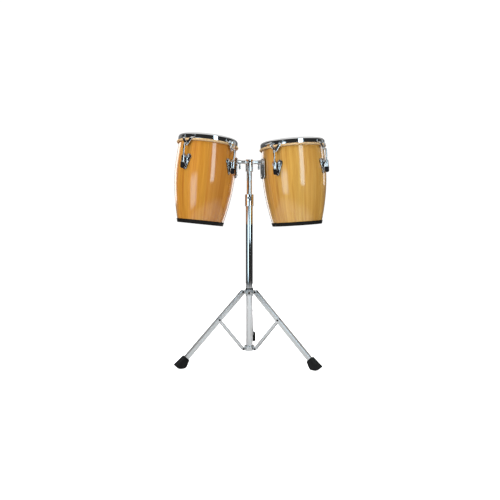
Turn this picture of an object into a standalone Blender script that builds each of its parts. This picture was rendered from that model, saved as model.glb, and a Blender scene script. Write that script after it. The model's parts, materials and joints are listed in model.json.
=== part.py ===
"""A pair of small conga drums on a folding tripod stand.

Metres, +Z up. The cross bar lies along X and the player stands at -Y. The origin is on the floor,
under the middle of the bounding box. Two staved wooden drums hang on the ends of the cross bar and
lean in towards the post. Each drum has a skin on a flesh hoop, a chromed rim and four tension hooks
that run through lugs to cap nuts. The tripod's legs hinge on a sliding collar and are held out by
braces from a hub at the foot of the post.
"""

import math

import bmesh
import bpy
from mathutils import Matrix

GAP = 0.0003            # play between pieces that touch
TURNING_STEPS = 40      # facets around a drum; a multiple of 8, so that it looks the same at each lug
TUBE_STEPS = 24         # facets around the post and its fittings
PIN_STEPS = 12          # facets around rods, screws and rivets

# --- drums -------------------------------------------------------------------------------------
# Heights in this section are measured along a drum's own axis, up from its base.
SHELL_TOP = 0.3020
SHELL_BOTTOM = 0.0025
SHELL_WALL = 0.009
BELLY_HEIGHT = 0.190
BASE_BAND_HEIGHT = 0.0135
BASE_BAND_WALL = 0.0020
TUCK_BOTTOM = 0.2810    # the skin's rolled edge, which holds the flesh hoop
TUCK_TOP = 0.2890
SKIN = 0.0012
RIM_BOTTOM = 0.2893
RIM_CROWN = 0.3095
RIM_WALL = 0.0030
RIM_CURVE = 0.0080      # radius of the rim's rounded crown
RIM_INSET = 0.0045      # the rim's band stands this far inside the skin's rolled edge
LUG_ANGLES = (45, 135, 225, 315)
LUG_HEIGHT = 0.209      # middle of a lug plate
LUG_TALL = 0.054
LUG_WIDE = 0.042
LUG_PROUD = 0.0050
BOSS_RADIUS = 0.0062
BOSS_BOTTOM = 0.2030
BOSS_TOP = 0.2270
ROD_RADIUS = 0.0032
ROD_BORE = 0.0036
ROD_STAND_OFF = 0.0115  # from the rolled edge of the skin out to the rod's axis
ROD_BOTTOM = 0.1880
NUT_RADIUS = 0.0078
NUT_BOTTOM = 0.1835
ROD_TOP = 0.2712
ROD_BEND_HEIGHT = 0.2680  # the rod turns in here, through the side plate's eye
CLAW_BOTTOM = 0.2620
CLAW_CROTCH = 0.2745
CLAW_TOP = 0.3010
CLAW_WALL = 0.0022
CLAW_EYE = 0.0060       # half width of the side plate around its eye
CLAW_HALF_WIDE = 0.0300
CLAW_FOOT = 0.0140

# head is the radius of the skin's rolled edge, and belly, top and foot are the barrel's radii; out and up
# place the middle of the base from the post and above the floor; lean is towards the post, in degrees
DRUMS = {
    "left": dict(
        side=-1, head=0.1110, belly=0.1085, top=0.1005, foot=0.0795, lean=5.9, out=0.1814, up=0.5024,
    ),
    "right": dict(
        side=1, head=0.1235, belly=0.1190, top=0.1130, foot=0.0896, lean=3.9, out=0.1833, up=0.4989,
    ),
}

# --- stand -------------------------------------------------------------------------------------
POST_X = -0.0030        # the post stands here, so that the bounding box is centred on the origin
POST_Y = -0.0388
BAR_HEIGHT = 0.7290
BAR_RADIUS = 0.00635
BAR_HALF = 0.0440
RECEIVER_RADIUS = 0.0086
RECEIVER_INNER = 0.0310
RECEIVER_OUTER = 0.0470
PAD_THICK = 0.0018      # rubber between a drum bracket and the barrel
BRACKET_THICK = 0.0042
BRACKET_BOTTOM = 0.6710
BRACKET_TOP = 0.7405
BRACKET_HALF_WIDE = 0.0320
BRACKET_CORNER = 0.0080
WING_SCREW_X = 0.0355
WING_SCREW_RADIUS = 0.0024
WING_SCREW_STEM = 0.0085
WING_SCREW_WING = 0.0120
WING_SCREW_SPAN = 0.0070
TEE_RADIUS = 0.0135
TEE_BOTTOM = 0.6950
TEE_TOP = 0.7385
TEE_ROUND = 0.0020
UPPER_TUBE_RADIUS = 0.00955
UPPER_TUBE_BOTTOM = 0.3160
UPPER_TUBE_TOP = 0.7170
BASE_TUBE_RADIUS = 0.0127
BASE_TUBE_BOTTOM = 0.0335
BASE_TUBE_TOP = 0.5860
TUBE_WALL = 0.0016
COLLAR_RADIUS = 0.0155
COLLAR_BOTTOM = 0.5685
COLLAR_TOP = 0.6115
COLLAR_BOLT_HEIGHT = 0.5980
COLLAR_BOSS_RADIUS = 0.0075
COLLAR_BOSS_REACH = 0.0230
COLLAR_BOLT_RADIUS = 0.0030
COLLAR_BOLT_STEM = 0.0170
COLLAR_BOLT_WING = 0.0140
COLLAR_BOLT_SPAN = 0.0105

# --- tripod ------------------------------------------------------------------------------------
TRIPOD_TURN = -13.2     # degrees from the cross bar's own square position
LEG_AZIMUTHS = {"back": 90, "left": 210, "right": 330}
HUB_RADIUS = 0.0155     # the sliding collar that carries the legs
HUB_BOTTOM = 0.2360
HUB_TOP = 0.2605
HUB_BUSH_TOP = 0.2650
HUB_BOSS_RADIUS = 0.0080
HUB_BOSS_REACH = 0.0190
HUB_SCREW_RADIUS = 0.0040
HUB_SCREW_REACH = 0.0200
TONGUE_ROOT = 0.0080    # a hub's tongues start this far from the post's axis
LEG_PIVOT_R = 0.0280
LEG_PIVOT_Z = 0.2515
LEG_EYE = 0.0070
BRACE_PIVOT_R = 0.0265
BRACE_PIVOT_Z = 0.0390
BRACE_EYE = 0.0050
KNEE_R = 0.1240         # where a brace meets its leg
KNEE_Z = 0.1575
LOWER_HUB_RADIUS = 0.0195
LOWER_HUB_BOTTOM = 0.0315
LOWER_HUB_TOP = 0.0480
LEG_DEEP = 0.0170
LEG_WIDE = 0.0150
LEG_WALL = 0.0016
LEG_LENGTH = 0.3300
LEG_TOP_SLOT = 0.0340   # the web is cut away this far down, to swing past the hub's tongue
KNEE_SLOT = (-0.0210, 0.0080)
BRACE_DEEP = 0.0110
BRACE_WIDE = 0.0110
BRACE_WALL = 0.0014
BRACE_SLOT = 0.0120
RIVET_RADIUS = 0.0036
RIVET_PROUD = 0.0012
FOOT_R = 0.2655         # middle of a foot's flat sole
FOOT_HALF_WIDE = 0.0140
FOOT_MOUTH = 0.3100     # the boot starts this far down the leg
FOOT_WALL = 0.0020

LEG_ANGLE = math.atan2(KNEE_R - LEG_PIVOT_R, LEG_PIVOT_Z - KNEE_Z)
LEG_TO_KNEE = math.hypot(KNEE_R - LEG_PIVOT_R, LEG_PIVOT_Z - KNEE_Z)
BRACE_ANGLE = math.atan2(KNEE_R - BRACE_PIVOT_R, KNEE_Z - BRACE_PIVOT_Z)
BRACE_LENGTH = math.hypot(KNEE_R - BRACE_PIVOT_R, KNEE_Z - BRACE_PIVOT_Z)

# colour, roughness, metallic
FINISHES = {
    "amber_wood": ((0.50, 0.22, 0.06), 0.22, 0.0),
    "honey_wood": ((0.58, 0.32, 0.10), 0.22, 0.0),
    "rawhide": ((0.78, 0.66, 0.42), 0.50, 0.0),
    "chrome": ((0.80, 0.80, 0.80), 0.10, 1.0),
    "black_steel": ((0.02, 0.02, 0.02), 0.35, 0.5),
    "black_rubber": ((0.02, 0.02, 0.02), 0.70, 0.0),
    "black_nylon": ((0.03, 0.03, 0.03), 0.45, 0.0),
}


# --- scene and mesh helpers ----------------------------------------------------------------------
def clear_scene():
    for old in list(bpy.data.objects):
        bpy.data.objects.remove(old, do_unlink=True)
    collection = bpy.data.collections.new("conga_drums")
    bpy.context.scene.collection.children.link(collection)
    return collection


def make_materials():
    made = {}
    for name, (colour, roughness, metallic) in FINISHES.items():
        material = bpy.data.materials.new(name)
        material.use_nodes = True
        shader = material.node_tree.nodes["Principled BSDF"]
        shader.inputs["Base Color"].default_value = (*colour, 1.0)
        shader.inputs["Roughness"].default_value = roughness
        shader.inputs["Metallic"].default_value = metallic
        made[name] = material
    return made


def temporary(mesh):
    """An object that only lives while its mesh is shaped."""
    piece = bpy.data.objects.new("temporary", mesh)
    bpy.context.scene.collection.objects.link(piece)
    return piece


def frozen(piece):
    """The object's mesh with its modifiers applied; the object is removed."""
    bpy.context.view_layer.update()
    evaluated = piece.evaluated_get(bpy.context.evaluated_depsgraph_get())
    mesh = bpy.data.meshes.new_from_object(evaluated)
    mesh.transform(piece.matrix_world)
    bpy.data.objects.remove(piece, do_unlink=True)
    return mesh


def combined(mesh, other, operation):
    piece, tool = temporary(mesh), temporary(other)
    boolean = piece.modifiers.new("boolean", "BOOLEAN")
    boolean.operation = operation
    boolean.solver = "EXACT"
    boolean.object = tool
    result = frozen(piece)
    bpy.data.objects.remove(tool, do_unlink=True)
    return result


def cut(mesh, *tools):
    for tool in tools:
        mesh = combined(mesh, tool, "DIFFERENCE")
    return mesh


def joined(mesh, *others):
    for other in others:
        mesh = combined(mesh, other, "UNION")
    return mesh


def moved(mesh, matrix):
    mesh.transform(matrix)
    return mesh


def turned(profile, steps=TURNING_STEPS, ring=False):
    """A solid turned about Z from (radius, height) points that run down its outer side.

    A ring's profile closes on itself; any other profile starts and ends on the axis.
    """
    count = len(profile)
    edges = [(i, i + 1) for i in range(count - 1)]
    if ring:
        edges.append((count - 1, 0))
    mesh = bpy.data.meshes.new("profile")
    mesh.from_pydata([(r, 0.0, z) for r, z in profile], edges, [])
    piece = temporary(mesh)
    screw = piece.modifiers.new("screw", "SCREW")
    screw.axis = "Z"
    screw.steps = steps
    screw.render_steps = steps
    screw.use_merge_vertices = True
    screw.merge_threshold = 0.00001
    return frozen(piece)


def tube(outer, inner, bottom, top, steps=TUBE_STEPS):
    return turned([(outer, top), (outer, bottom), (inner, bottom), (inner, top)], steps, ring=True)


def cylinder(radius, bottom, top, steps=PIN_STEPS):
    """A solid cylinder about Z."""
    mesh = bpy.data.meshes.new("cylinder")
    shape = bmesh.new()
    bmesh.ops.create_cone(
        shape, cap_ends=True, segments=steps, radius1=radius, radius2=radius, depth=top - bottom,
        matrix=Matrix.Translation((0, 0, (bottom + top) / 2)),
    )
    shape.to_mesh(mesh)
    shape.free()
    return mesh


def box(low, high):
    size = [b - a for a, b in zip(low, high)]
    middle = [(a + b) / 2 for a, b in zip(low, high)]
    mesh = bpy.data.meshes.new("box")
    shape = bmesh.new()
    bmesh.ops.create_cube(shape, size=1.0, matrix=Matrix.Translation(middle) @ Matrix.Diagonal((*size, 1)))
    shape.to_mesh(mesh)
    shape.free()
    return mesh


def plate(outline, thickness):
    """A flat outline in the XZ plane, made thick along Y and centred on it."""
    curve = bpy.data.curves.new("outline", "CURVE")
    curve.dimensions = "2D"
    curve.fill_mode = "BOTH"
    curve.extrude = thickness / 2
    spline = curve.splines.new("POLY")
    spline.points.add(len(outline) - 1)
    for point, (x, z) in zip(spline.points, outline):
        point.co = (x, z, 0.0, 1.0)
    spline.use_cyclic_u = True
    mesh = frozen(temporary(curve))
    shape = bmesh.new()
    shape.from_mesh(mesh)
    bmesh.ops.remove_doubles(shape, verts=shape.verts, dist=0.00001)
    shape.to_mesh(mesh)
    shape.free()
    return moved(mesh, Matrix.Rotation(math.pi / 2, 4, "X"))


def arc(centre, radius, start, end, count):
    """Points along an arc, with its angles in degrees."""
    for i in range(count + 1):
        angle = math.radians(start + (end - start) * i / count)
        yield centre[0] + radius * math.cos(angle), centre[1] + radius * math.sin(angle)


def along_y(mesh):
    """Turns a piece that was made about Z so that it lies along Y, its top towards -Y."""
    return moved(mesh, Matrix.Rotation(math.pi / 2, 4, "X"))


def along_x(mesh):
    return moved(mesh, Matrix.Rotation(math.pi / 2, 4, "Y"))


def place(name, mesh, finish, location=(0, 0, 0), rotation=(0, 0, 0), parent=None):
    """Puts a finished piece in the drums' collection, smooth on its round sides."""
    piece = bpy.data.objects.new(name, mesh)
    PARTS.objects.link(piece)
    if not mesh.materials:
        mesh.materials.append(MATERIALS[finish])
    mesh.shade_smooth()
    mesh.set_sharp_from_angle(angle=math.radians(35))
    piece.location = location
    piece.rotation_euler = rotation
    piece.parent = parent
    return piece


def guide(name, location, rotation=(0, 0, 0), parent=None):
    empty = bpy.data.objects.new(name, None)
    PARTS.objects.link(empty)
    empty.location = location
    empty.rotation_euler = rotation
    empty.parent = parent
    return empty


# --- drum pieces, in a drum's own frame ------------------------------------------------------------
def shell_radius(drum, height):
    """Outer radius of the barrel: a full curve below the belly and a shallow one above it."""
    if height < BELLY_HEIGHT:
        part = (BELLY_HEIGHT - height) / BELLY_HEIGHT
        return drum["belly"] - (drum["belly"] - drum["foot"]) * part ** 1.8
    part = (height - BELLY_HEIGHT) / (SHELL_TOP - BELLY_HEIGHT)
    return drum["belly"] - (drum["belly"] - drum["top"]) * part ** 1.6


def shell_side(drum, offset, top=SHELL_TOP, bottom=SHELL_BOTTOM, count=9):
    """Points down the barrel's side, moved out by offset."""
    for i in range(count + 1):
        height = top + (bottom - top) * i / count
        yield shell_radius(drum, height) + offset, height


def make_shell(drum):
    bearing = drum["top"] - SHELL_WALL / 2
    outside = [(bearing, SHELL_TOP), *shell_side(drum, 0.0, top=SHELL_TOP - 0.003)]
    inside = reversed(list(shell_side(drum, -SHELL_WALL, top=SHELL_TOP - 0.006, count=6)))
    return turned([*outside, *inside], ring=True)


def make_base_band(drum):
    """A steel band around the foot of the shell, with a lip under the wood."""
    def wall(offset, top, bottom):
        return [(shell_radius(drum, h) + offset, h) for h in (top, bottom)]

    outer = wall(GAP + BASE_BAND_WALL, BASE_BAND_HEIGHT, 0.0)
    lip = shell_radius(drum, 0.0) - SHELL_WALL + 0.002
    under = SHELL_BOTTOM - GAP
    inner = wall(GAP, BASE_BAND_HEIGHT, under)
    return turned([*outer, (lip, 0.0), (lip, under), inner[1], inner[0]], ring=True)


def make_skin(drum):
    """The head, carried down the outside of the shell and rolled up around the flesh hoop."""
    edge = drum["head"]
    top = SHELL_TOP + GAP + SKIN
    shoulder = drum["top"] + GAP

    def collar(height, offset):
        return shell_radius(drum, height) + GAP + offset, height

    outside = [
        (0.0, top), (shoulder - 0.005, top), (shoulder, top - 0.0010),
        collar(SHELL_TOP - 0.003, SKIN), collar(TUCK_TOP, SKIN), collar(TUCK_BOTTOM + SKIN, SKIN),
    ]
    pocket = [
        (edge - SKIN, TUCK_BOTTOM + SKIN), (edge - SKIN, TUCK_TOP - SKIN), (edge - 0.0032, TUCK_TOP - SKIN),
        (edge - 0.0032, TUCK_TOP),
    ]
    rolled = [
        (edge - 0.0012, TUCK_TOP), (edge, TUCK_TOP - 0.0020), (edge, TUCK_BOTTOM + 0.0020),
        (edge - 0.0012, TUCK_BOTTOM),
    ]
    inside = [
        collar(TUCK_BOTTOM, 0.0), collar(SHELL_TOP - 0.003, 0.0), (shoulder - 0.0046, top - SKIN),
        (0.0, top - SKIN),
    ]
    return turned([*outside, *pocket, *rolled, *inside])


def make_flesh_hoop(drum):
    outer = drum["head"] - SKIN - GAP
    inner = shell_radius(drum, TUCK_BOTTOM) + GAP + SKIN + GAP
    top, bottom = TUCK_TOP - SKIN - GAP, TUCK_BOTTOM + SKIN + GAP
    return turned([(outer, top), (outer, bottom), (inner, bottom), (inner, top)], ring=True)


def rim_arc(drum, radius, start, end, count):
    """An arc about the middle of the rim's rounded crown."""
    centre = (drum["head"] - RIM_INSET - RIM_CURVE, RIM_CROWN - RIM_CURVE)
    return list(arc(centre, radius, start, end, count))


def make_rim(drum):
    band = drum["head"] - RIM_INSET
    crown = rim_arc(drum, RIM_CURVE, 105, 0, 4)
    under = rim_arc(drum, RIM_CURVE - RIM_WALL, 0, 105, 3)
    return turned([*crown, (band, RIM_BOTTOM), (band - RIM_WALL, RIM_BOTTOM), *under], ring=True)


def make_hook(drum):
    """A V-shaped side plate of the rim with the tension rod that hooks into it, on the drum's +X side."""
    edge = drum["head"]
    band = edge - RIM_INSET + GAP
    bead = edge + GAP
    reach = edge + ROD_STAND_OFF
    section = [
        (band + CLAW_WALL, CLAW_TOP), (band + CLAW_WALL, TUCK_TOP + 0.0050), (bead + CLAW_WALL, TUCK_TOP),
        (bead + CLAW_WALL, CLAW_BOTTOM - 0.0010), (bead, CLAW_BOTTOM - 0.0010), (bead, TUCK_TOP - 0.0010),
        (band, TUCK_TOP + 0.0036), (band, CLAW_TOP),
    ]
    arm = [
        (CLAW_EYE, CLAW_BOTTOM), (CLAW_HALF_WIDE, CLAW_TOP - 0.0050), (CLAW_HALF_WIDE, CLAW_TOP + 0.0010),
        (CLAW_HALF_WIDE - CLAW_FOOT, CLAW_TOP + 0.0010), (CLAW_HALF_WIDE - CLAW_FOOT, CLAW_TOP - 0.0070),
    ]
    outline = [*arm, (0.0, CLAW_CROTCH), *[(-x, z) for x, z in reversed(arm)]]
    cutter = moved(plate(outline, 0.06), Matrix.Rotation(math.pi / 2, 4, "Z"))
    cutter = moved(cutter, Matrix.Translation((edge, 0, 0)))
    claw = combined(turned(section, ring=True), cutter, "INTERSECT")
    rod = moved(cylinder(ROD_RADIUS, ROD_BOTTOM, ROD_TOP), Matrix.Translation((reach, 0, 0)))
    bend = along_x(cylinder(ROD_RADIUS, edge - 0.0030, reach))
    return joined(claw, rod, moved(bend, Matrix.Translation((0, 0, ROD_BEND_HEIGHT))))


def make_lug(drum):
    """A heart-shaped side plate, hollowed to fit the barrel, with a boss for the rod."""
    half, tall = LUG_WIDE / 2, LUG_TALL / 2
    lobe = half * 0.52
    heart = [
        *arc((half - lobe, tall - lobe), lobe, -20, 150, 7),
        (0.0, tall - lobe * 0.9),
        *arc((lobe - half, tall - lobe), lobe, 30, 200, 7),
        *arc((0.0, -tall + 0.008), 0.008, 190, 350, 6),
    ]
    face = shell_radius(drum, LUG_HEIGHT) + LUG_PROUD
    block = plate(heart, 0.012)
    turn = Matrix.Rotation(-math.pi / 2, 4, "Z")
    block = moved(block, Matrix.Translation((face - 0.006, 0, LUG_HEIGHT)) @ turn)
    reach = drum["head"] + ROD_STAND_OFF
    to_rod = Matrix.Translation((reach, 0, 0))
    boss = moved(cylinder(BOSS_RADIUS, BOSS_BOTTOM, BOSS_TOP), to_rod)
    neck = box((face - 0.002, -0.0045, BOSS_BOTTOM + 0.002), (reach, 0.0045, BOSS_TOP - 0.003))
    lug = joined(block, neck, boss)
    barrel = turned([(0.0, SHELL_TOP), *shell_side(drum, GAP, top=0.260, bottom=0.150), (0.0, 0.150)])
    bore = moved(cylinder(ROD_BORE, BOSS_BOTTOM - 0.01, BOSS_TOP + 0.01), to_rod)
    return cut(lug, barrel, bore)


def make_nut():
    """A cap nut about its own axis, open at the top for the rod."""
    body = cylinder(NUT_RADIUS, NUT_BOTTOM, BOSS_BOTTOM - GAP)
    bore = cylinder(ROD_BORE, ROD_BOTTOM - 0.001, BOSS_BOTTOM + 0.01)
    return cut(body, bore)


def build_drum(name, drum, post):
    side = drum["side"]
    frame = guide(f"{name}_drum_axis", (side * drum["out"], 0, drum["up"]),
                  (0, -side * math.radians(drum["lean"]), 0), post)
    wood = "amber_wood" if name == "left" else "honey_wood"
    place(f"{name}_shell", make_shell(drum), wood, parent=frame)
    place(f"{name}_base_band", make_base_band(drum), "black_steel", parent=frame)
    place(f"{name}_skin", make_skin(drum), "rawhide", parent=frame)
    place(f"{name}_flesh_hoop", make_flesh_hoop(drum), "black_steel", parent=frame)
    place(f"{name}_rim", make_rim(drum), "chrome", parent=frame)
    hook, lug, nut = make_hook(drum), make_lug(drum), make_nut()
    reach = drum["head"] + ROD_STAND_OFF
    for number, degrees in enumerate(LUG_ANGLES, 1):
        turn = math.radians(degrees)
        place(f"{name}_hook_{number}", hook, "chrome", rotation=(0, 0, turn), parent=frame)
        place(f"{name}_lug_{number}", lug, "chrome", rotation=(0, 0, turn), parent=frame)
        at_rod = (reach * math.cos(turn), reach * math.sin(turn), 0)
        place(f"{name}_cap_nut_{number}", nut, "black_nylon", at_rod, parent=frame)
    build_bracket(name, drum, post)


# --- brackets and cross bar, in the post's frame ----------------------------------------------------
def hung_barrel(drum, offset):
    """The side of the barrel where it hangs, grown by offset."""
    barrel = turned([(0.0, 0.290), *shell_side(drum, offset, top=0.280, bottom=0.120), (0.0, 0.120)])
    side = drum["side"]
    lean = Matrix.Rotation(-side * math.radians(drum["lean"]), 4, "Y")
    return moved(barrel, Matrix.Translation((side * drum["out"], 0, drum["up"])) @ lean)


def facing(mesh, side):
    """Turns a piece that was made for the +X side of the post to its own side."""
    return mesh if side > 0 else moved(mesh, Matrix.Rotation(math.pi, 4, "Z"))


def bar_cylinder(radius, inner, outer):
    """A cylinder along the cross bar's axis."""
    return moved(along_x(cylinder(radius, inner, outer, TUBE_STEPS)), Matrix.Translation((0, 0, BAR_HEIGHT)))


def saddle(drum, inner, outer, shrink):
    """A rounded square plate that follows the barrel's side where it faces the post."""
    half = BRACKET_HALF_WIDE - shrink
    middle, tall = (BRACKET_BOTTOM + BRACKET_TOP) / 2, (BRACKET_TOP - BRACKET_BOTTOM) / 2 - shrink
    across, up = half - BRACKET_CORNER, tall - BRACKET_CORNER
    corners = ((across, up, 0), (-across, up, 90), (-across, -up, 180), (across, -up, 270))
    outline = []
    for x, z, start in corners:
        outline.extend(arc((x, z), BRACKET_CORNER, start, start + 90, 4))
    block = moved(plate(outline, 0.070), Matrix.Rotation(math.pi / 2, 4, "Z"))
    block = moved(block, Matrix.Translation((drum["side"] * 0.060, 0, middle)))
    return cut(combined(block, hung_barrel(drum, outer), "INTERSECT"), hung_barrel(drum, inner))


def build_bracket(name, drum, post):
    side = drum["side"]
    pad_face = GAP + PAD_THICK
    plate_back = pad_face + GAP
    body = saddle(drum, plate_back, plate_back + BRACKET_THICK, 0.0)
    receiver = facing(bar_cylinder(RECEIVER_RADIUS, RECEIVER_INNER, RECEIVER_OUTER), side)
    socket = facing(bar_cylinder(BAR_RADIUS + GAP, 0.010, BAR_HALF + GAP), side)
    at_screw = Matrix.Translation((side * WING_SCREW_X, 0, 0))
    screw_hole = moved(cylinder(WING_SCREW_RADIUS + GAP, BAR_HEIGHT - 0.02, BAR_HEIGHT), at_screw)
    bracket = cut(joined(body, receiver), hung_barrel(drum, plate_back), socket, screw_hole)
    place(f"{name}_bracket", bracket, "chrome", parent=post)
    place(f"{name}_bracket_pad", saddle(drum, GAP, pad_face, -0.0010), "black_rubber", parent=post)
    tip = BAR_HEIGHT - BAR_RADIUS - GAP
    screw = wing_screw(WING_SCREW_RADIUS, tip, WING_SCREW_STEM, WING_SCREW_WING, WING_SCREW_SPAN)
    place(f"{name}_wing_screw", screw, "chrome", (side * WING_SCREW_X, 0, 0), parent=post)


def wing_screw(shaft, tip, stem, wing, span):
    """A screw about Z with its point at height tip; its wings hang below and reach span each way along Y."""
    neck = tip - stem
    bottom = neck - wing
    rod = cylinder(shaft, bottom + 0.002, tip)
    right = [(0.0030, bottom + 0.004), (span - 0.001, bottom), (span, neck - wing * 0.45), (0.0030, neck)]
    left = [(-x, z) for x, z in reversed(right)]
    blade = moved(plate([*right, *left], 0.0036), Matrix.Rotation(math.pi / 2, 4, "Z"))
    return joined(rod, blade)


def build_cross_bar(post):
    place("cross_bar", bar_cylinder(BAR_RADIUS, -BAR_HALF, BAR_HALF), "chrome", parent=post)
    sleeve = turned([
        (0.0, TEE_TOP), (TEE_RADIUS - TEE_ROUND, TEE_TOP), (TEE_RADIUS, TEE_TOP - TEE_ROUND),
        (TEE_RADIUS, TEE_BOTTOM), (0.0, TEE_BOTTOM),
    ], TUBE_STEPS)
    bore = cylinder(UPPER_TUBE_RADIUS + GAP, TEE_BOTTOM - 0.01, UPPER_TUBE_TOP + GAP, TUBE_STEPS)
    across = bar_cylinder(BAR_RADIUS + GAP, -0.030, 0.030)
    place("tee_sleeve", cut(sleeve, bore, across), "chrome", parent=post)


# --- post ------------------------------------------------------------------------------------------
def build_post(post):
    upper = tube(UPPER_TUBE_RADIUS, UPPER_TUBE_RADIUS - TUBE_WALL, UPPER_TUBE_BOTTOM, UPPER_TUBE_TOP)
    place("upper_tube", upper, "chrome", parent=post)
    base = tube(BASE_TUBE_RADIUS, BASE_TUBE_RADIUS - TUBE_WALL, BASE_TUBE_BOTTOM, BASE_TUBE_TOP)
    place("base_tube", base, "chrome", parent=post)
    at_bolt = Matrix.Translation((0, 0, COLLAR_BOLT_HEIGHT))

    def bolt_hole():
        return moved(along_y(cylinder(COLLAR_BOLT_RADIUS + GAP, -0.030, 0.0)), at_bolt)

    collar = tube(COLLAR_RADIUS, BASE_TUBE_RADIUS + GAP, COLLAR_BOTTOM, COLLAR_TOP)
    boss = moved(along_y(cylinder(COLLAR_BOSS_RADIUS, -COLLAR_BOSS_REACH, -0.0140, 16)), at_bolt)
    place("height_collar", cut(joined(collar, boss), bolt_hole()), "chrome", parent=post)
    bushing = tube(BASE_TUBE_RADIUS, UPPER_TUBE_RADIUS + GAP, BASE_TUBE_TOP + GAP, COLLAR_TOP)
    place("height_bushing", cut(bushing, bolt_hole()), "black_nylon", parent=post)
    # The bolt's point faces the post from behind, and its wings stand clear of the boss.
    tip = -(UPPER_TUBE_RADIUS + GAP)
    bolt = wing_screw(COLLAR_BOLT_RADIUS, tip, COLLAR_BOLT_STEM, COLLAR_BOLT_WING, COLLAR_BOLT_SPAN)
    place("height_wing_bolt", along_y(bolt), "chrome", (0, 0, COLLAR_BOLT_HEIGHT), parent=post)


# --- tripod ----------------------------------------------------------------------------------------
def plate_tongue(reach, radius, height, thickness):
    """A flat tongue along +X that ends in a round eye at reach."""
    eye = arc((reach, height), radius, -90, 90, 8)
    return plate([(TONGUE_ROOT, height - radius), *eye, (TONGUE_ROOT, height + radius)], thickness)


def hub(outer, bottom, top, tongue, *extras):
    """A ring that fits the base tube, with a tongue for each leg and anything else that grows from it."""
    body = joined(cylinder(outer, bottom, top, TUBE_STEPS), *extras)
    for azimuth in LEG_AZIMUTHS.values():
        body = joined(body, moved(tongue.copy(), Matrix.Rotation(math.radians(azimuth), 4, "Z")))
    return cut(body, cylinder(BASE_TUBE_RADIUS + GAP, bottom - 0.01, top + 0.01, TUBE_STEPS))


def channel(length, deep, wide, wall, slots, square_end):
    """A pressed channel along +X from its pivot, with its web on +Z and its open side on -Z.

    slots are stretches where the web is cut away.
    """
    half = deep / 2
    far = [(length, -half), (length, half)] if square_end else list(arc((length, 0), half, -90, 90, 8))
    outline = [*arc((0.0, 0.0), half, 90, 270, 8), *far]
    bar = plate(outline, wide)
    inner = wide / 2 - wall
    tools = [box((-deep, -inner, -deep), (length + deep, inner, half - wall))]
    tools += [box((start, -inner, -deep), (end, inner, deep)) for start, end in slots]
    return cut(bar, *tools)


def rivet_heads(wide, places):
    for x in places:
        for side in (-1, 1):
            head = along_y(cylinder(RIVET_RADIUS, -0.0005, RIVET_PROUD))
            if side > 0:
                head = moved(head, Matrix.Rotation(math.pi, 4, "Z"))
            yield moved(head, Matrix.Translation((x, side * wide / 2, 0)))


def make_leg():
    slots = ((-LEG_DEEP, LEG_TOP_SLOT), tuple(LEG_TO_KNEE + edge for edge in KNEE_SLOT))
    leg = channel(LEG_LENGTH, LEG_DEEP, LEG_WIDE, LEG_WALL, slots, True)
    return joined(leg, *rivet_heads(LEG_WIDE, (0.0, LEG_TO_KNEE)))


def make_brace():
    brace = channel(BRACE_LENGTH, BRACE_DEEP, BRACE_WIDE, BRACE_WALL, ((-BRACE_DEEP, BRACE_SLOT),), False)
    return joined(brace, *rivet_heads(BRACE_WIDE, (0.0,)))


def make_foot():
    """A rubber boot in the leg's upright plane: X outwards from the sole's middle, Z up."""
    pivot_x, pivot_z = LEG_PIVOT_R - FOOT_R, LEG_PIVOT_Z
    along = (math.sin(LEG_ANGLE), -math.cos(LEG_ANGLE))
    across = (math.cos(LEG_ANGLE), math.sin(LEG_ANGLE))
    mouth = (pivot_x + FOOT_MOUTH * along[0], pivot_z + FOOT_MOUTH * along[1])
    lip = LEG_DEEP / 2 + FOOT_WALL
    outer = (mouth[0] + lip * across[0], mouth[1] + lip * across[1])
    inner = (mouth[0] - lip * across[0], mouth[1] - lip * across[1])
    outline = [
        inner, (-0.0205, 0.0200), (-0.0160, 0.0090), (-0.0100, 0.0022), (-0.0060, 0.0), (0.0075, 0.0),
        (0.0170, 0.0032), (0.0245, 0.0090), (0.0270, 0.0140), outer,
    ]
    boot = plate(outline, 2 * FOOT_HALF_WIDE)
    wide, deep = LEG_WIDE / 2 + GAP, LEG_DEEP / 2 + GAP
    pocket = box((FOOT_MOUTH - 0.02, -wide, -deep), (LEG_LENGTH + GAP, wide, deep))
    lean = Matrix.Rotation(math.pi / 2 - LEG_ANGLE, 4, "Y")
    return cut(boot, moved(pocket, Matrix.Translation((pivot_x, 0, pivot_z)) @ lean))


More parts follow.
